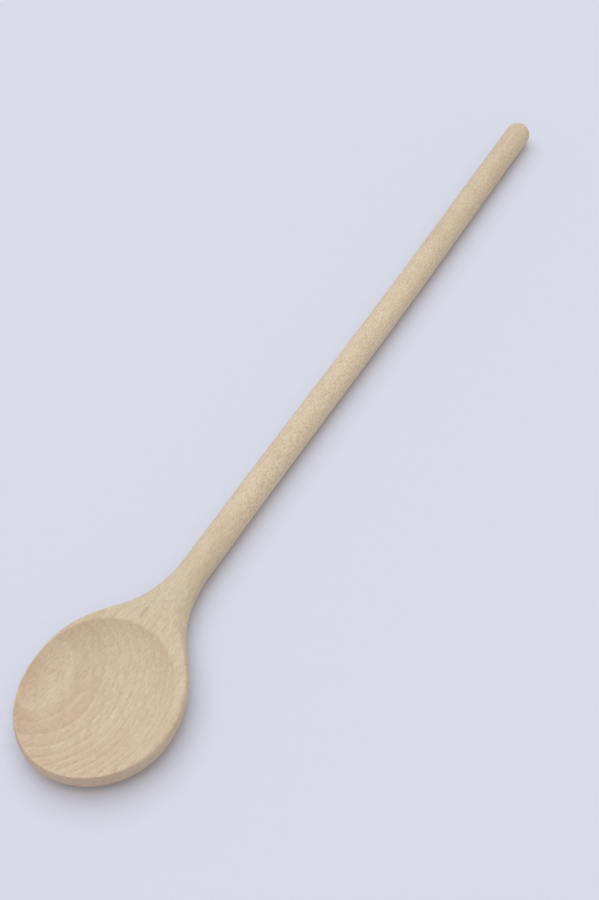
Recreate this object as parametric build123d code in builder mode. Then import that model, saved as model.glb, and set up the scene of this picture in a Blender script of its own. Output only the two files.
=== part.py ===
from build123d import *
import os
from math import sqrt

os.makedirs("parts", exist_ok=True)

# A round cooking spoon in one piece of beech, in millimetres.
# X runs along the spoon from the tip of the head to the end of the handle,
# Z is up, and the middle of the length lies over the origin, on the table.

# Whole spoon and handle
spoon_length = 400.0
handle_diameter = 12.0
handle_end_reach = 6.5

# Head, measured from its widest station
head_width = 60.0
head_thickness = 11.7
head_tip_reach = 32.3
equator_height = 7.2
crown_over_flat = 8.3

# Neck, from the widest station of the head to the full round of the handle
neck_length = 66.0

# Flat top, planed level over the head, up to this share of the neck, then swept up and out
level_flat_share = 0.666
run_out_radius = 34.0

# Dish, milled into the flat top, from the land at the tip to this share of the neck
dish_depth = 8.0
dish_neck_share = 0.483
rim_land = 2.0
dish_edge_round = 0.8
rim_round = 0.8

cut_overrun = 5.0

# Sections along the neck, each as (station, width, height) shares: how far along the neck,
# how much of the head's extra half width is left, and how much of its extra height
neck_shares = (
    (0.00, 1.0000, 1.000),
    (0.05, 0.9965, 1.000),
    (0.10, 0.9900, 0.996),
    (0.20, 0.9370, 0.968),
    (0.30, 0.8320, 0.895),
    (0.40, 0.6620, 0.738),
    (0.50, 0.4620, 0.465),
    (0.60, 0.2720, 0.185),
    (0.70, 0.1460, 0.032),
    (0.80, 0.0630, 0.002),
    (0.90, 0.0170, 0.000),
    (0.96, 0.0030, 0.000),
    (1.00, 0.0000, 0.000),
)
# How full each quarter of a section is, on the head and on the handle
# (the round shares and weights make each quarter of the handle an exact quarter circle)
round_share = sqrt(2) / (1 + sqrt(2))
round_weights = [1, (1 + sqrt(2)) / 3, (1 + sqrt(2)) / 3, 1]
head_side_share = 0.70
head_belly_share = 0.70
head_crown_share = 0.80

handle_radius = handle_diameter / 2
head_half_width = head_width / 2
tip_x = -spoon_length / 2
head_x = tip_x + head_tip_reach
neck_end_x = head_x + neck_length
handle_end_x = spoon_length / 2
crown_height = head_thickness + crown_over_flat


def blend(handle_value, head_value, share):
    """A value between the handle's and the head's."""
    return handle_value + (head_value - handle_value) * share


def section_points(width_share, height_share):
    """Control points of one section's right half: belly quarter, then crown quarter."""
    half_width = blend(handle_radius, head_half_width, width_share)
    equator = blend(handle_radius, equator_height, height_share)
    crown = blend(handle_diameter, crown_height, height_share)
    side = blend(round_share, head_side_share, height_share)
    belly = blend(round_share, head_belly_share, height_share)
    top = blend(round_share, head_crown_share, height_share)
    belly_quarter = (
        (0, 0),
        (half_width * belly, 0),
        (half_width, equator * (1 - side)),
        (half_width, equator),
    )
    crown_quarter = (
        (half_width, equator),
        (half_width, equator + (crown - equator) * side),
        (half_width * top, crown),
        (0, crown),
    )
    return belly_quarter, crown_quarter


# The dish's hollow: a round bowl turned about an upright axis, then drawn out to the dish's length
with BuildPart() as dish:
    dish_neck_reach = neck_length * dish_neck_share
    half_length = (head_tip_reach - rim_land + dish_neck_reach) / 2
    half_width = head_half_width - rim_land
    bowl_radius = (half_width**2 + dish_depth**2) / (2 * dish_depth)
    dish_x = head_x + dish_neck_reach - half_length
    floor_height = head_thickness - dish_depth
    bowl_top = head_thickness + cut_overrun
    half_chord = sqrt(bowl_radius**2 - (bowl_radius - dish_depth - cut_overrun) ** 2)
    with BuildSketch(Plane.XZ):
        with BuildLine():
            rim_point = (dish_x + half_chord, bowl_top)
            RadiusArc((dish_x, floor_height), rim_point, -bowl_radius)
            Polyline(rim_point, (dish_x, bowl_top), (dish_x, floor_height))
        make_face()
    revolve(axis=Axis((dish_x, 0, 0), (0, 0, 1)))
    scale(by=(half_length / half_width, 1, 1), about=(dish_x, 0, 0))

with BuildPart() as spoon:
    # Tip half of the head: the widest section turned half a turn, then drawn out to an oval
    with BuildSketch(Plane.YZ.offset(head_x)):
        with BuildLine():
            belly_quarter, crown_quarter = section_points(1, 1)
            Bezier(*belly_quarter, weights=round_weights)
            Bezier(*crown_quarter, weights=round_weights)
            Line(crown_quarter[-1], belly_quarter[0])
        make_face()
    revolve(axis=Axis((head_x, 0, 0), (0, 0, 1)), revolution_arc=180)
    scale(by=(head_tip_reach / head_half_width, 1, 1), about=(head_x, 0, 0))

    # Neck half: sections that draw in and turn round along the way to the handle
    for station_share, width_share, height_share in neck_shares:
        with BuildSketch(Plane.YZ.offset(head_x + neck_length * station_share)):
            with BuildLine():
                belly_quarter, crown_quarter = section_points(width_share, height_share)
                Bezier(*belly_quarter, weights=round_weights)
                Bezier(*crown_quarter, weights=round_weights)
                mirror(about=Plane.YZ)
            make_face()
    loft()

    # Handle: a straight round rod with a domed end
    with BuildSketch(Plane.XZ):
        with BuildLine():
            dome_start = (handle_end_x - handle_end_reach, handle_diameter)
            Polyline(
                (handle_end_x, handle_radius),
                (neck_end_x, handle_radius),
                (neck_end_x, handle_diameter),
                dome_start,
            )
            EllipticalCenterArc(
                (dome_start[0], handle_radius), handle_end_reach, handle_radius, arc_size=90
            )
        make_face()
    revolve(axis=Axis((0, 0, handle_radius), (1, 0, 0)))

    # Flat top, with a curved run-out where the cutter leaves the neck
    cut_top = crown_height + cut_overrun
    run_rise = cut_top - head_thickness
    run_length = sqrt(run_out_radius**2 - (run_out_radius - run_rise) ** 2)
    with BuildSketch(Plane.XZ):
        with BuildLine():
            cut_start_x = tip_x - cut_overrun
            run_start = (head_x + neck_length * level_flat_share, head_thickness)
            run_end = (run_start[0] + run_length, cut_top)
            TangentArc(run_start, run_end, tangent=(1, 0))
            Polyline(run_end, (cut_start_x, cut_top), (cut_start_x, head_thickness), run_start)
        make_face()
    extrude(amount=head_half_width + cut_overrun, both=True, mode=Mode.SUBTRACT)

    # Dish, milled out of the flat top
    add(dish.part, mode=Mode.SUBTRACT)

    # Softened edges: where the dish breaks the flat top, and round the rim
    flat_top = faces().filter_by(Axis.Z).sort_by(SortBy.AREA)[-1]
    fillet(flat_top.inner_wires().edges(), dish_edge_round)
    flat_top = faces().filter_by(Axis.Z).sort_by(SortBy.AREA)[-1]
    fillet(flat_top.outer_wire().edges().filter_by(GeomType.LINE, reverse=True), rim_round)

spoon.part.label = "spoon"
export_step(spoon.part, "parts/spoon.step")
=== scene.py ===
"""A beech cooking spoon, dressed over its measured model.

Laid out as an add-on and run as a script: each operator makes one thing, and main() calls them in order.
"""

from itertools import accumulate
from math import cos, pi, radians, sin
from types import SimpleNamespace

import bpy
from mathutils import Euler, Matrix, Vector


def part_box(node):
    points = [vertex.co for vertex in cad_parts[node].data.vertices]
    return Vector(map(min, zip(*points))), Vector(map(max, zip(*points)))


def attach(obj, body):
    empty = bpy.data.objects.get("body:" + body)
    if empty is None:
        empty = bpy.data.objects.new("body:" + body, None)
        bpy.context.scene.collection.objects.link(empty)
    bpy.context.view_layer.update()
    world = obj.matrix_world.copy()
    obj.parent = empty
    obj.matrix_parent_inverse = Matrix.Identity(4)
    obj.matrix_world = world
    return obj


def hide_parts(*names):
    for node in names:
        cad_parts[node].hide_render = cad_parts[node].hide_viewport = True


bl_info = {
    "name": "Beech Cooking Spoon",
    "version": (1, 0, 0),
    "blender": (4, 5, 0),
    "location": "View3D > Sidebar > Spoon",
    "description": "Shapes a wooden cooking spoon from its sizes and finishes it in bare beech",
    "category": "Add Mesh",
}

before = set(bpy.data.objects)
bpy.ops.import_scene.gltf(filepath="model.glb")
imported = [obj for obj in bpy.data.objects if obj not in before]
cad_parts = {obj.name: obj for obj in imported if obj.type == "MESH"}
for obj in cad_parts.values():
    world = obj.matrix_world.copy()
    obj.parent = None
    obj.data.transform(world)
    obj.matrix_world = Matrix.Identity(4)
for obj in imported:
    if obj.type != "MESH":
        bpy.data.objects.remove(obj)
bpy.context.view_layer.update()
spoon_low, spoon_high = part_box("spoon")
mm = 0.001

# Lengthwise places on the spoon, worked out from its packed sizes
tip_x = spoon_low.x
head_reach = 32.3 * mm
head_x = tip_x + head_reach

# Mesh rows along the tip, the neck, the handle and its domed end, points around each row,
# and how near two points are where the sheet of rows closes
tip_rows = 64
neck_rows = 104
handle_rows = 110
end_rows = 18
row_points = 256
seam_gap = 0.002 * mm

# How much of the head's extra half width and extra height is left along the neck
neck_width_shares = (
    (0.00, 1.0000),
    (0.05, 0.9965),
    (0.10, 0.9900),
    (0.20, 0.9370),
    (0.30, 0.8320),
    (0.40, 0.6620),
    (0.50, 0.4620),
    (0.60, 0.2720),
    (0.70, 0.1460),
    (0.80, 0.0630),
    (0.90, 0.0170),
    (0.96, 0.0030),
    (1.00, 0.0000),
)
neck_height_shares = (
    (0.00, 1.000),
    (0.10, 0.996),
    (0.20, 0.968),
    (0.30, 0.895),
    (0.40, 0.738),
    (0.50, 0.465),
    (0.60, 0.185),
    (0.70, 0.032),
    (0.80, 0.002),
    (0.90, 0.000),
    (1.00, 0.000),
)

# How full a section is, as its powers across and upwards. A round one has powers of 2. The head adds
# to them below and above its widest line, its front right adds more above that line, and the flat
# right flank of the neck takes some away there
round_power = 2
belly_fullness = (0.227, 0.163)
crown_fullness = (1.10, 0.55)
front_right_fullness = (0.80, 1.00)
flat_flank_loss = (0.50, 0.45)

# Shares of the neck's length over which its widest line rises and falls again
neck_rise = (0.20, 0.50)
neck_fall = (0.60, 0.90)

# Shares of the head's half width over which the rim grows rounder on the right
right_rim = (0.60, 1.10)

# Shares of the whole length over which a piece shaped by hand drifts from one side to the other
neck_drift = (0.055, 0.180)
handle_drift = (0.325, 0.650)
end_drift = (0.650, 1.000)

# Shares of the dish's half length and half width over which its wall grows steeper and its edge
# crisper, what that adds to the wall's power, and what it takes from the edge's softness
crisp_along = (-0.20, 0.90)
crisp_across = (0.30, 0.90)
crisp_steepness = 0.50
crisp_loss = 0.85

# Noises, as waves along and across the grain, detail and roughness: the sanding's in waves to the metre
# and the wood's in waves to the millimetre. Then the middle that they all lie about
sanding_noise = (45.0, 120.0, 1.0, 0.50)
layer_noise = (0.02, 0.05, 2.0, 0.50)
patch_noise = (0.05, 0.13, 3.0, 0.60)
streak_noise = (0.20, 0.60, 3.0, 0.60)
grain_noise = (0.36, 1.30, 4.0, 0.72)
fine_noise = (0.70, 2.60, 3.0, 0.75)
middle_noise = 0.5

# How the growth layers lie: their roll and dip, and in millimetres the shift of the grain's own axes
# and how far a layer wanders
layer_roll = radians(-27.7)
layer_dip = radians(-2.9)
grain_shift = (170.0, 0.0, 11.05)
layer_wander = 1.4

# How pale each growth layer is, from the lowest to the highest, how many layers that covers,
# and which share of them lies below the layer counted as 0
layer_tones = (
    (0.000, 0.45),
    (0.200, 0.50),
    (0.242, 0.58),
    (0.252, 0.64),
    (0.262, 0.64),
    (0.274, 0.10),
    (0.340, 0.05),
    (0.450, 0.15),
    (0.700, 0.10),
    (1.000, 0.20),
)
layer_count = 16.0
below_share = 0.25

# Shares of a layer's thickness over which its early wood's pale line fades, and its late wood's dark
# line rises and ends
early_fade = (0.03, 0.30)
late_rise = (0.45, 0.90)
late_end = (0.93, 1.00)

# Strength of the pale line, and of the dark line between and on the fibres, with the range of noise
# from the one to the other
early_strength = 0.28
late_strength = (0.08, 0.49)
late_fibres = (0.35, 0.75)

# The layers over which both lines grow to their full strength, and their share of it in those below
growing_layers = (0.5, 2.5)
faint_layer_share = 0.4

# Where the zones of the wood fade, in millimetres: the tip's and the head's past the head's widest
# place, along lines that lean across it, each flank's across the handle's middle line towards its own
# side, and the end's past the middle of the spoon
zone_lean = 0.5
tip_zone = (-20.0, 30.0)
head_zone = (45.0, 110.0)
left_zone = (-3.0, 6.0)
# The right flank's zone covers the handle's shaded side, which painted fill light makes paler
right_fill_zone = (2.0, -6.0)
end_zone = (30.0, 150.0)

# What each zone adds to how pink the wood is, to how strongly its layers show and to how pale it is,
# and how much a layer's own tone adds to that. The right flank's paleness is painted fill light on the
# handle's shaded side
pinkness = {"spoon": 0.06, "head": 0.08, "left flank": 0.22, "tip": 0.46}
layer_strength = {"spoon": 0.10, "head": 0.48, "tip": 0.62}
paleness_and_painted_fill = {"handle": 0.49, "right flank": 0.42, "end": -0.48}
layer_paleness = 0.7

# How far patches and streaks change the wood's pinkness and its darkness, on the handle and on the head
pink_mottle = (2.5, 1.1)
dark_mottle = (0.20, 0.15)

# The range of noise that shows as fibres, and their strength
handle_fibres = (0.40, 0.69)
handle_fibre_strength = 0.84
head_fibres = (0.32, 0.78)
head_fibre_strength = 0.62

# Ray flecks, as cells to the millimetre along and across the grain, how far a fleck reaches from its
# cell's middle, and its strength. Then how far its full darkness reaches, the range of chance over
# which a cell comes to hold a fleck, and the share of its strength that the faintest one has
coarse_flecks = (0.24, 1.5, 0.40, 0.42)
fine_flecks = (0.45, 2.3, 0.50, 0.50)
fleck_core = 0.05
fleck_pick = (0.25, 0.60)
faintest_fleck = 0.3

# One larger ray fleck on the left shoulder: its place and size, its lean, how ragged its edge is, where
# that edge fades as shares of its half size, and its strength
mark_x = head_x + 36.7 * mm
mark_y = 5.0 * mm
mark_length = 7.5 * mm
mark_width = 1.5 * mm
mark_lean = 0.25
mark_raggedness = 0.8
mark_fade = (0.3, 1.1)
mark_strength = 0.45

# The sheen of the bare wood, what fibres and flecks add to its roughness, and the relief they give it
wood_sheen = 0.35
fibre_roughness = 0.10
fleck_roughness = 0.06
fleck_depth = 0.5
relief_strength = 0.35
relief_height = 0.06 * mm

# The stage: the camera's lens and sensor in millimetres, half the floor's width and its finish,
# the lamp's colour and direction, and the room's colour
camera_lens = 51.0
camera_sensor = 36.0
floor_reach = 4000.0 * mm
floor_sheen = 0.2
floor_roughness = 0.8
lamp_colour = (0.89, 0.98, 1.09)
lamp_towards = (-0.22, -0.31, -1.0)
room_colour = (1.09, 0.99, 0.855)


def amount(name, description, default, **details):
    """A number from zero up that a user can set."""
    return bpy.props.FloatProperty(name=name, description=description, default=default, min=0.0, **details)


def length_size(name, description, default):
    """A length that a user can set."""
    return amount(name, description, default, precision=5, unit="LENGTH", subtype="DISTANCE")


def angle(name, description, default):
    """An angle that a user can set."""
    return bpy.props.FloatProperty(
        name=name, description=description, default=default, unit="ROTATION", subtype="ANGLE"
    )


def surface_colour(name, description, default):
    """A colour that a user can set."""
    return bpy.props.FloatVectorProperty(
        name=name, description=description, default=default, size=3, min=0.0, max=1.0, subtype="COLOR"
    )


class SpoonSizes(bpy.types.PropertyGroup):
    """Sizes of the spoon's blank, head, flat top and dish."""

    length: length_size("Length", "Tip of the head to the end of the handle", spoon_high.x - spoon_low.x)
    handle_diameter: length_size("Handle Diameter", "Thickness of the round handle", 12.0 * mm)
    end_reach: length_size("End Reach", "Length of the domed end of the handle", 6.5 * mm)
    head_width: length_size("Head Width", "Greatest width of the head", spoon_high.y - spoon_low.y)
    tip_reach: length_size("Tip Reach", "Tip of the head to its widest place", head_reach)
    neck_length: length_size("Neck Length", "Widest place of the head to the round handle", 66.0 * mm)
    belly_height: length_size("Belly Height", "Height of the rim's widest line above the table", 7.2 * mm)
    front_drop: length_size("Front Drop", "How much lower that line runs at the front right", 2.0 * mm)
    front_trim: length_size("Front Trim", "How far the front right stays inside the oval", 1.0 * mm)
    neck_lift: length_size("Neck Lift", "How far that line rises along the neck", 1.5 * mm)
    flat_height: length_size("Flat Height", "Height of the planed top above the table", 11.7 * mm)
    crown_height: length_size("Crown Height", "Height that the head would have unplaned", 20.0 * mm)
    run_out_start: length_size("Run Out Start", "Head's widest place to the plane's run out", 44.0 * mm)
    run_out_radius: length_size("Run Out Radius", "Radius of the plane's run out", 34.0 * mm)
    dish_depth: length_size("Dish Depth", "Depth of the dish below the planed top", 8.0 * mm)
    dish_length: length_size("Dish Length", "Length of the dish along the spoon", 62.4 * mm)
    dish_width: length_size("Dish Width", "Width of the dish across the spoon", 55.8 * mm)
    dish_forward: length_size("Dish Forward", "Widest place of the head to the dish's middle", 0.5 * mm)
    dish_aside: length_size("Dish Aside", "How far the dish was milled off the middle", 1.3 * mm)
    rim_softness: length_size("Rim Softness", "How far the rim's outer edge is rounded", 0.9 * mm)
    right_softness: length_size("Right Softness", "How much further it is rounded on the right", 4.0 * mm)
    edge_softness: length_size("Edge Softness", "How far the dish's edge is sanded round", 1.1 * mm)
    head_aside: length_size("Head Aside", "How far the head strays to its right", 0.94 * mm)
    neck_aside: length_size("Neck Aside", "How far the neck strays to its left", 0.70 * mm)
    end_aside: length_size("End Aside", "How far the handle's end strays to its left", 0.74 * mm)
    sanding: length_size("Sanding", "Height of the soft unevenness that sanding left", 0.05 * mm)


class BeechFinish(bpy.types.PropertyGroup):
    """Colours and figure of the bare beech."""

    yellow: surface_colour("Yellow Wood", "Yellower patches", (0.675, 0.583, 0.437))
    pink: surface_colour("Pink Wood", "Pinker patches", (0.66, 0.462, 0.357))
    pale: surface_colour("Early Wood", "Thin pale line that starts a growth layer", (0.82, 0.70, 0.54))
    dark: surface_colour("Late Wood", "Soft dark edge that ends a growth layer", (0.465, 0.345, 0.236))
    fleck: surface_colour("Ray Flecks", "Short dark flecks where the rays are cut", (0.40, 0.28, 0.19))
    layer: length_size("Growth Layer", "Thickness of one growth layer", 2.2 * mm)
    roughness: amount("Roughness", "Roughness of the sanded surface", 0.62, max=1.0)


class StudioSettings(bpy.types.PropertyGroup):
    """Floor, lights and camera."""

    floor: surface_colour("Floor", "Colour of the plain floor", (0.69, 0.714, 0.84))
    lamp_power: amount("Lamp Strength", "Strength of the soft lamp", 1.48)
    lamp_spread: angle("Lamp Spread", "How wide the lamp looks from the spoon", radians(70))
    room_power: amount("Room Strength", "Strength of the light from all round", 0.56)
    camera_place: bpy.props.FloatVectorProperty(
        name="Camera Place",
        description="Where the camera stands, from the point of the floor under the spoon's middle",
        default=(-303.63 * mm, -161.72 * mm, 431.36 * mm),
        size=3,
        unit="LENGTH",
        subtype="TRANSLATION",
    )
    camera_tilt: angle("Camera Tilt", "How far the camera looks down from level", radians(53.673))
    camera_turn: angle("Camera Turn", "Angle from the spoon to the view, seen from above", radians(30.117))
    camera_roll: angle("Camera Roll", "How far the camera leans to one side", radians(0.443))


def settings_of(context):
    """The three groups of settings on the scene."""
    scene = context.scene
    return scene.spoon_sizes, scene.beech_finish, scene.studio_settings


def numbers_in(group):
    """The properties of a group that hold numbers."""
    return [prop for prop in group.bl_rna.properties if prop.type == "FLOAT"]


class Value:
    """One output of a node. Python's operators on it add Math nodes to its tree."""

    def __init__(self, bench, socket):
        self.bench = bench
        self.socket = socket

    def math(self, operation, *others):
        """This value and the others through one Math node."""
        return self.bench.math(operation, self, *others)

    def __add__(self, other):
        return self.bench.math("ADD", self, other)

    def __radd__(self, other):
        return self.bench.math("ADD", other, self)

    def __sub__(self, other):
        return self.bench.math("SUBTRACT", self, other)

    def __rsub__(self, other):
        return self.bench.math("SUBTRACT", other, self)

    def __mul__(self, other):
        return self.bench.math("MULTIPLY", self, other)

    def __rmul__(self, other):
        return self.bench.math("MULTIPLY", other, self)

    def __truediv__(self, other):
        return self.bench.math("DIVIDE", self, other)

    def __rtruediv__(self, other):
        return self.bench.math("DIVIDE", other, self)

    def __pow__(self, other):
        return self.bench.math("POWER", self, other)

    def __neg__(self):
        return self.bench.math("MULTIPLY", self, -1.0)

    def within(self, low, high):
        """0 up to low, 1 from high on, and a soft step between."""
        return self.bench.step({"interpolation_type": "SMOOTHSTEP"}, self, low, high)

    def share(self, low, high):
        """0 up to low, 1 from high on, and a straight line between."""
        return self.bench.step({"clamp": True}, self, low, high)

    def outputs(self):
        """Every output of this value's node."""
        return [Value(self.bench, socket) for socket in self.socket.node.outputs]


class Bench:
    """Adds nodes to one node tree and links them."""

    def __init__(self, tree):
        self.tree = tree

    @staticmethod
    def find(sockets, key):
        """A socket by its place, identifier or name."""
        if isinstance(key, int):
            return sockets[key]
        for socket in sockets:
            if socket.identifier == key:
                return socket
        return sockets[key]

    def node(self, kind, settings=None, sockets=None, output=0):
        """A node of this kind with these settings, whose sockets take these values or links."""
        node = self.tree.nodes.new(kind)
        for name, setting in (settings or {}).items():
            if name == "curve":
                self.set_curve(node.mapping, setting)
            else:
                setattr(node, name, setting)
        for key, value in (sockets or {}).items():
            socket = self.find(node.inputs, key)
            if isinstance(value, Value):
                self.tree.links.new(value.socket, socket)
            else:
                socket.default_value = value
        return Value(self, self.find(node.outputs, output)) if node.outputs else None

    @staticmethod
    def set_curve(mapping, points):
        """Gives a float curve its points."""
        curve = mapping.curves[0]
        while len(curve.points) < len(points):
            curve.points.new(1.0, 1.0)
        for point, place in zip(curve.points, points):
            point.location = place
        mapping.update()

    def math(self, operation, *values):
        """One Math node."""
        return self.node("ShaderNodeMath", {"operation": operation}, dict(enumerate(values)))

    def step(self, settings, value, low, high):
        """How far a value lies from low to high, between 0 and 1."""
        sockets = {"Value": value, "From Min": low, "From Max": high}
        return self.node("ShaderNodeMapRange", settings, sockets)

    def curve(self, points, value):
        """A value read off the curve through these points."""
        return self.node("ShaderNodeFloatCurve", {"curve": points}, {"Value": value})

    def vector(self, *values):
        """Three values as one vector."""
        return self.node("ShaderNodeCombineXYZ", None, dict(enumerate(values)))

    def parts(self, vector):
        """The three values of a vector."""
        return self.node("ShaderNodeSeparateXYZ", None, {"Vector": vector}).outputs()

    def mix(self, factor, first, second):
        """A colour between two colours."""
        sockets = {"Factor_Float": factor, "A_Color": first, "B_Color": second}
        return self.node("ShaderNodeMix", {"data_type": "RGBA"}, sockets, "Result_Color")

    def stretched(self, place, along, across):
        """A place scaled by one factor along the grain and by another across it."""
        factors = (along, across, across)
        return self.node("ShaderNodeVectorMath", {"operation": "MULTIPLY"}, {0: place, 1: factors})

    def noise(self, place, along, across, detail, roughness):
        """Soft noise from 0 to 1, with its own number of waves along and across the grain."""
        stretched = self.stretched(place, along, across)
        sockets = {"Vector": stretched, "Scale": 1.0, "Detail": detail, "Roughness": roughness}
        return self.node("ShaderNodeTexNoise", None, sockets)

    def swing(self, place, *noise):
        """The same noise about 0."""
        return self.noise(place, *noise) - middle_noise


def blend(first, second, share):
    """A value so far on the way from the first to the second."""
    return first + (second - first) * share


def opaque(colour):
    """A colour as a shader's socket takes it."""
    return (*colour, 1.0)


def size_sockets(tree, sizes):
    """Named inputs of a shaping tree, one for each size."""
    return {
        size.identifier: tree.interface.new_socket(
            name=size.name, in_out="INPUT", socket_type="NodeSocketFloat"
        )
        for size in numbers_in(sizes)
    }


def lay_rows(bench):
    """A flat sheet of rows of points, the number of each point's row, and its turn round that row."""
    rows = tip_rows + neck_rows + handle_rows + end_rows
    sockets = {"Size X": 1.0, "Size Y": 1.0, "Vertices X": rows + 1, "Vertices Y": row_points + 1}
    sheet = bench.node("GeometryNodeMeshGrid", None, sockets)
    # The sheet reaches from -0.5 to 0.5 both ways
    across_sheet, around_sheet, _ = bench.parts(bench.node("GeometryNodeInputPosition"))
    return sheet, (across_sheet + 0.5) * rows, (around_sheet + 0.5) * (2 * pi)


def find_stations(row, turn):
    """Where each point lies: how far along the tip, neck, handle and domed end, and on which side."""
    starts = (0, *accumulate((tip_rows, neck_rows, handle_rows, end_rows)))
    tip, neck, handle, end = (row.share(*ends) for ends in zip(starts, starts[1:]))
    tip_turn = tip * (pi / 2)
    on_right = turn.math("SINE").math("MAXIMUM", 0.0)
    return SimpleNamespace(
        turn=turn,
        tip_turn=tip_turn,
        neck_share=neck,
        handle_share=handle,
        end_turn=end * (pi / 2),
        on_right=on_right,
        front_right=(tip_turn * 2).math("SINE") * on_right,
    )


def lengthwise(size, station, trimmed):
    """How far along the spoon each point lies, from the middle of its length."""
    handle_run = size.length - size.tip_reach - size.neck_length - size.end_reach
    return (
        size.tip_reach * (1 - station.tip_turn.math("COSINE") * trimmed)
        + size.neck_length * station.neck_share
        + handle_run * station.handle_share
        + size.end_reach * station.end_turn.math("SINE")
        - size.length / 2
    )


def superellipse_fill(inside, across_power, upward_power):
    """Height share of a quarter section, where inside falls from 1 at its middle to 0 at its edge."""
    return (1 - (1 - inside) ** (across_power / 2)) ** (1 / upward_power)


def draw_sections(bench, size, station):
    """The round sections: how far out each point lies, and its height on the belly and on the crown."""
    width_share = bench.curve(neck_width_shares, station.neck_share)
    height_share = bench.curve(neck_height_shares, station.neck_share)
    radius = size.handle_diameter / 2
    opening = station.tip_turn.math("SINE") * station.end_turn.math("COSINE")
    half_width = blend(radius, size.head_width / 2, width_share) * opening
    lifted = station.neck_share.within(*neck_rise) * (1 - station.neck_share.within(*neck_fall))
    belly_height = size.belly_height - size.front_drop * station.front_right
    widest_line = blend(radius, belly_height, height_share) + size.neck_lift * lifted
    crown = blend(size.handle_diameter, size.crown_height, height_share)
    inside = (opening * station.turn.math("COSINE")) ** 2
    flat_flank = lifted * station.on_right
    belly_powers = [round_power + fullness * height_share for fullness in belly_fullness]
    crown_powers = [
        round_power + (fullness + front * station.front_right) * height_share - loss * flat_flank
        for fullness, front, loss in zip(crown_fullness, front_right_fullness, flat_flank_loss)
    ]
    belly_z = widest_line * (1 - superellipse_fill(inside, *belly_powers))
    crown_z = blend(widest_line, crown, superellipse_fill(inside, *crown_powers))
    return half_width * station.turn.math("SINE"), belly_z, crown_z


def plane_top(size, x, y, crown_z):
    """Height of the planed top, which sweeps up and out on the neck. Its rim is rounder on the right."""
    run_out_x = size.tip_reach + size.run_out_start - size.length / 2
    past_flat = (x - run_out_x).math("MAXIMUM", 0.0)
    planed_z = size.flat_height + past_flat * past_flat / (2 * size.run_out_radius)
    on_right_rim = (-y / (size.head_width / 2)).within(*right_rim)
    softness = size.rim_softness + size.right_softness * on_right_rim
    return crown_z.math("SMOOTH_MIN", planed_z, softness)


def mill_dish(size, x, y, top_z):
    """Height with the dish milled a little off the middle, crisper towards the neck and the left."""
    dish_x = size.tip_reach + size.dish_forward - size.length / 2
    along = (x - dish_x) / (size.dish_length / 2)
    across = (y - size.dish_aside) / (size.dish_width / 2)
    crisp_side = along.within(*crisp_along).math("MAXIMUM", across.within(*crisp_across))
    wall = (along * along + across * across) ** (1 + crisp_steepness * crisp_side)
    dish_z = size.flat_height - size.dish_depth * (1 - wall)
    softness = size.edge_softness * (1 - crisp_loss * crisp_side)
    return top_z.math("SMOOTH_MIN", dish_z, softness)


def hand_drift(size, station, x):
    """How far to the left each place of a spoon shaped by hand strays, less where it strays right."""
    length_share = x / size.length + 0.5
    on_neck = length_share.within(*neck_drift)
    on_handle = length_share.within(*handle_drift)
    return (
        size.neck_aside * on_neck * (1 - on_handle)
        + size.end_aside * length_share.within(*end_drift)
        - size.head_aside * station.tip_turn.math("SINE") * (1 - on_neck)
    )


def sand(bench, size, shape):
    """The shape with soft unevenness from sanding by hand, longer along the grain than across it."""
    place = bench.node("GeometryNodeInputPosition")
    uneven = bench.swing(place, *sanding_noise) * size.sanding
    normal = bench.node("GeometryNodeInputNormal")
    lift = bench.node("ShaderNodeVectorMath", {"operation": "SCALE"}, {0: normal, "Scale": uneven})
    return bench.node("GeometryNodeSetPosition", None, {"Geometry": shape, "Offset": lift})


def build_spoon_tree(sizes):
    """The rule that shapes the spoon: rows of points round it, on sections that are planed and dished."""
    tree = bpy.data.node_groups.new("Spoon shape", "GeometryNodeTree")
    sockets = size_sockets(tree, sizes)
    finish_socket = tree.interface.new_socket(
        name="Finish", in_out="INPUT", socket_type="NodeSocketMaterial"
    )
    tree.interface.new_socket(name="Geometry", in_out="OUTPUT", socket_type="NodeSocketGeometry")
    bench = Bench(tree)
    given = {output.socket.identifier: output for output in bench.node("NodeGroupInput").outputs()}
    size = SimpleNamespace(**{name: given[socket.identifier] for name, socket in sockets.items()})

    sheet, row, turn = lay_rows(bench)
    station = find_stations(row, turn)
    # The front right of the head stays a little inside the oval
    trimmed = 1 - size.front_trim / size.tip_reach * station.front_right
    x = lengthwise(size, station, trimmed)
    outward, belly_z, crown_z = draw_sections(bench, size, station)
    y = -outward * trimmed
    top_z = mill_dish(size, x, y, plane_top(size, x, y, crown_z))
    on_top = turn.math("COSINE").math("LESS_THAN", 0.0)
    spoon_place = bench.vector(x, y + hand_drift(size, station, x), blend(belly_z, top_z, on_top))

    placed = bench.node("GeometryNodeSetPosition", None, {"Geometry": sheet, "Position": spoon_place})
    closed = bench.node("GeometryNodeMergeByDistance", None, {"Geometry": placed, "Distance": seam_gap})
    sanded = sand(bench, size, closed)
    smooth = bench.node("GeometryNodeSetShadeSmooth", None, {"Geometry": sanded})
    real = bench.node("GeometryNodeRealizeInstances", None, {"Geometry": smooth})
    finish = given[finish_socket.identifier]
    finished = bench.node("GeometryNodeSetMaterial", None, {"Geometry": real, "Material": finish})
    bench.node("NodeGroupOutput", None, {"Geometry": finished})
    return tree, sockets, finish_socket


def bare_material(name):
    """A new material without nodes, and the bench for them."""
    material = bpy.data.materials.new(name)
    material.use_nodes = True
    material.node_tree.nodes.clear()
    return material, Bench(material.node_tree)


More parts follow.
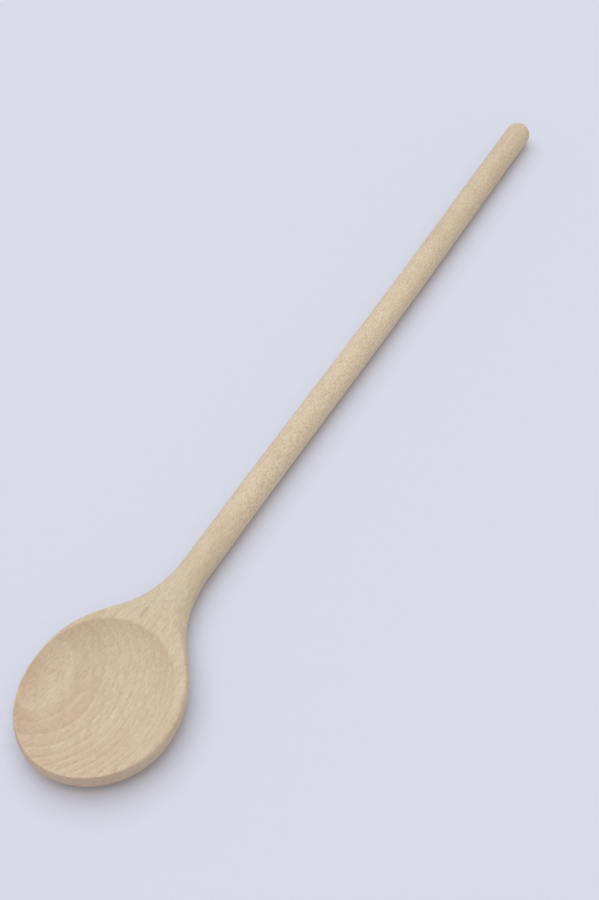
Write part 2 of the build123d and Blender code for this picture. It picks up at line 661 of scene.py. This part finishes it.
def wood_zones(bench, place):
    """How far each point lies in each zone of the spoon, from 0 to 1."""
    x, y, _ = bench.parts(place)
    past_middle = (x - head_x - zone_lean * y) / mm
    on_head = 1 - past_middle.within(*head_zone)
    on_handle = 1 - on_head
    return {
        "spoon": 1.0,
        "tip": 1 - past_middle.within(*tip_zone),
        "head": on_head,
        "handle": on_handle,
        "left flank": (y / mm).share(*left_zone) * on_handle,
        # Painted fill light: the handle's shaded right flank, made paler
        "right flank": (y / mm).share(*right_fill_zone) * on_handle,
        "end": (x / mm).within(*end_zone),
    }


def over_zones(zones, shares):
    """The sum of what each zone adds."""
    return sum(zones[name] * share for name, share in shares.items())


class Beech:
    """The figure of the wood, which runs through the whole spoon."""

    def __init__(self, bench, finish):
        self.bench = bench
        self.finish = finish
        self.place = bench.node("ShaderNodeTexCoord", None, None, "Object")
        self.zones = wood_zones(bench, self.place)
        # Places in millimetres: along the grain, along a growth layer, and through the layers
        mapping_sockets = {
            "Vector": self.place,
            "Location": grain_shift,
            "Rotation": (layer_roll, layer_dip, 0.0),
            "Scale": (1 / mm, 1 / mm, 1 / mm),
        }
        self.grain_place = bench.node("ShaderNodeMapping", {"vector_type": "POINT"}, mapping_sockets)
        self.grain = bench.noise(self.grain_place, *grain_noise)
        self.grain_swing = self.grain - middle_noise
        self.mottle = self.swing(patch_noise) + self.swing(streak_noise)

    def swing(self, noise):
        """One of the noises along the grain, about 0."""
        return self.bench.swing(self.grain_place, *noise)

    def ground(self):
        """The wood's ground colour, pinkest at the tip, in soft patches and streaks."""
        mottled = self.mottle * blend(*pink_mottle, self.zones["head"])
        pink_share = over_zones(self.zones, pinkness) + mottled
        return self.bench.mix(pink_share, opaque(self.finish.yellow), opaque(self.finish.pink))

    def layered(self, wood):
        """The wood with its growth layers, each from a pale line to a soft dark edge in its own tone, and
        paler by zone, with painted fill light on the handle's shaded right flank.
        """
        _, _, through = self.bench.parts(self.grain_place)
        wandered = through + self.swing(layer_noise) * layer_wander
        layer_place = wandered / (self.finish.layer / mm)
        in_layer = layer_place - layer_place.math("FLOOR")
        early_line = 1 - in_layer.within(*early_fade)
        late_line = in_layer.within(*late_rise) * (1 - in_layer.within(*late_end))
        layer_tone = self.bench.curve(layer_tones, layer_place / layer_count + below_share)
        # Paleness by zone, with painted fill light on the handle's shaded right flank
        pale_share = layer_tone * layer_paleness + over_zones(self.zones, paleness_and_painted_fill)
        toned = self.bench.mix(pale_share, wood, opaque(self.finish.pale))
        growth = blend(faint_layer_share, 1.0, layer_place.within(*growing_layers))
        strength = over_zones(self.zones, layer_strength) * (1 - layer_tone) * growth
        late_share = late_line * blend(*late_strength, self.grain.share(*late_fibres)) * strength
        darkened = self.bench.mix(late_share, toned, opaque(self.finish.dark))
        return self.bench.mix(early_line * early_strength * strength, darkened, opaque(self.finish.pale))

    def fibred(self, wood):
        """The wood with fine dark fibres along the grain, finer and denser on the handle."""
        on_head = self.zones["head"]
        fine_grain = self.bench.noise(self.grain_place, *fine_noise)
        handle_share = fine_grain.share(*handle_fibres) * handle_fibre_strength
        head_share = self.grain.share(*head_fibres) * head_fibre_strength
        mottled = self.mottle * blend(*dark_mottle, on_head)
        fibre_share = blend(handle_share, head_share, on_head) + mottled
        return self.bench.mix(fibre_share, wood, opaque(self.finish.dark))

    def ray_flecks(self, along, across, reach, strength):
        """Short thin lenses along the grain, up to this reach from the middles of scattered cells."""
        cell_sockets = {"Vector": self.bench.stretched(self.grain_place, along, across), "Scale": 1.0}
        distance, colour, *_ = self.bench.node("ShaderNodeTexVoronoi", None, cell_sockets).outputs()
        picked, darkness, _ = self.bench.parts(colour)
        lens = 1 - distance.within(fleck_core, reach)
        return lens * picked.within(*fleck_pick) * blend(faintest_fleck, 1.0, darkness) * strength

    def shoulder_mark(self):
        """The one larger fleck, a leaning lens with a ragged edge."""
        x, y, _ = self.bench.parts(self.place)
        along = (x - mark_x - mark_lean * (y - mark_y)) / (mark_length / 2)
        across = (y - mark_y) / (mark_width / 2)
        ragged = mark_raggedness * self.grain_swing
        return (1 - (along * along + across * across + ragged).within(*mark_fade)) * mark_strength


def make_beech(finish):
    """Bare sanded beech: tilted growth layers, fine fibres, ray flecks and soft changes of tone, with
    painted fill light on the handle's shaded right flank.
    """
    material, bench = bare_material("Bare beech")
    beech = Beech(bench, finish)
    flecks = beech.ray_flecks(*coarse_flecks).math("MAXIMUM", beech.ray_flecks(*fine_flecks))
    fleck_share = flecks.math("MAXIMUM", beech.shoulder_mark())
    wood = beech.fibred(beech.layered(beech.ground()))
    relief = {
        "Strength": relief_strength,
        "Distance": relief_height,
        "Height": beech.grain - flecks * fleck_depth,
    }
    unevenness = beech.grain_swing * fibre_roughness + flecks * fleck_roughness
    surface_sockets = {
        "Base Color": bench.mix(fleck_share, wood, opaque(finish.fleck)),
        "Roughness": finish.roughness + unevenness,
        "Normal": bench.node("ShaderNodeBump", None, relief),
        "Specular IOR Level": wood_sheen,
    }
    surface = bench.node("ShaderNodeBsdfPrincipled", None, surface_sockets)
    bench.node("ShaderNodeOutputMaterial", None, {"Surface": surface})
    return material


def make_floor_paint(colour):
    """An even matte surface."""
    material, bench = bare_material("Plain floor")
    surface_sockets = {
        "Base Color": opaque(colour),
        "Roughness": floor_roughness,
        "Specular IOR Level": floor_sheen,
    }
    surface = bench.node("ShaderNodeBsdfPrincipled", None, surface_sockets)
    bench.node("ShaderNodeOutputMaterial", None, {"Surface": surface})
    return material


def add_object(name, data):
    """A new object of this name in the scene."""
    made = bpy.data.objects.new(name, data)
    bpy.context.scene.collection.objects.link(made)
    return made


class SPOON_OT_carve(bpy.types.Operator):
    """Shape the spoon from its sizes and finish it in beech"""

    bl_idname = "spoon.carve"
    bl_label = "Carve Spoon"

    def execute(self, context):
        sizes, finish, _ = settings_of(context)
        tree, sockets, finish_socket = build_spoon_tree(sizes)
        blank = add_object("spoon_blank", bpy.data.meshes.new("spoon_blank"))
        shaping = blank.modifiers.new("Shape", "NODES")
        shaping.node_group = tree
        for name, socket in sockets.items():
            shaping[socket.identifier] = getattr(sizes, name)
        shaping[finish_socket.identifier] = make_beech(finish)

        seen = context.evaluated_depsgraph_get()
        carved = bpy.data.meshes.new_from_object(blank.evaluated_get(seen))
        carved.name = "beech_spoon"
        bpy.data.objects.remove(blank)
        spoon = add_object("beech_spoon", carved)
        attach(spoon, "root")
        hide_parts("spoon")
        return {"FINISHED"}


class SPOON_OT_set_stage(bpy.types.Operator):
    """Lay the floor and set the lights and the camera"""

    bl_idname = "spoon.set_stage"
    bl_label = "Set Stage"

    def execute(self, context):
        _, _, studio = settings_of(context)
        self.set_camera(context.scene, studio)
        self.lay_floor(studio)
        self.set_lights(context.scene, studio)
        context.scene.view_settings.view_transform = "Standard"
        return {"FINISHED"}

    def set_camera(self, scene, studio):
        """The camera looks down along the handle from beyond the tip, on the spoon's right."""
        data = bpy.data.cameras.new("Camera")
        data.lens = camera_lens
        data.sensor_width = camera_sensor
        camera = add_object("Camera", data)
        camera.location = studio.camera_place
        level = cos(studio.camera_tilt)
        turn = studio.camera_turn
        ahead = Vector((level * cos(turn), level * sin(turn), -sin(studio.camera_tilt)))
        upright = ahead.to_track_quat("-Z", "Y")
        leaned = Euler((0.0, 0.0, studio.camera_roll)).to_quaternion()
        camera.rotation_euler = (upright @ leaned).to_euler()
        scene.camera = camera

    def lay_floor(self, studio):
        """A wide plain floor at the spoon's lowest level."""
        corners = [
            (side_x * floor_reach, side_y * floor_reach, 0.0)
            for side_x, side_y in ((-1, -1), (1, -1), (1, 1), (-1, 1))
        ]
        sheet = bpy.data.meshes.new("floor")
        sheet.from_pydata(corners, [], [(0, 1, 2, 3)])
        sheet.materials.append(make_floor_paint(studio.floor))
        add_object("floor", sheet)

    def set_lights(self, scene, studio):
        """One wide soft lamp high on the spoon's left, and an even room round it."""
        data = bpy.data.lights.new("Soft lamp", "SUN")
        data.energy = studio.lamp_power
        data.angle = studio.lamp_spread
        data.color = lamp_colour
        lamp = add_object("Soft lamp", data)
        lamp.rotation_euler = Vector(lamp_towards).to_track_quat("-Z", "Y").to_euler()
        room = bpy.data.worlds.new("Room")
        room.use_nodes = True
        room.node_tree.nodes.clear()
        bench = Bench(room.node_tree)
        glow_sockets = {"Color": opaque(room_colour), "Strength": studio.room_power}
        glow = bench.node("ShaderNodeBackground", None, glow_sockets)
        bench.node("ShaderNodeOutputWorld", None, {"Surface": glow})
        scene.world = room


class SPOON_PT_panel(bpy.types.Panel):
    """Sizes, finish and stage of the spoon"""

    bl_label = "Beech Cooking Spoon"
    bl_idname = "SPOON_PT_panel"
    bl_space_type = "VIEW_3D"
    bl_region_type = "UI"
    bl_category = "Spoon"

    def draw(self, context):
        layout = self.layout
        for group in settings_of(context):
            box = layout.box()
            for number in numbers_in(group):
                box.prop(group, number.identifier)
        layout.operator(SPOON_OT_set_stage.bl_idname)
        layout.operator(SPOON_OT_carve.bl_idname)


classes = (SpoonSizes, BeechFinish, StudioSettings, SPOON_OT_carve, SPOON_OT_set_stage, SPOON_PT_panel)


def register():
    for cls in classes:
        bpy.utils.register_class(cls)
    bpy.types.Scene.spoon_sizes = bpy.props.PointerProperty(type=SpoonSizes)
    bpy.types.Scene.beech_finish = bpy.props.PointerProperty(type=BeechFinish)
    bpy.types.Scene.studio_settings = bpy.props.PointerProperty(type=StudioSettings)


def unregister():
    del bpy.types.Scene.studio_settings
    del bpy.types.Scene.beech_finish
    del bpy.types.Scene.spoon_sizes
    for cls in reversed(classes):
        bpy.utils.unregister_class(cls)


def main():
    """Makes the stage and the spoon."""
    register()
    bpy.ops.spoon.set_stage()
    bpy.ops.spoon.carve()


if __name__ == "__main__":
    main()
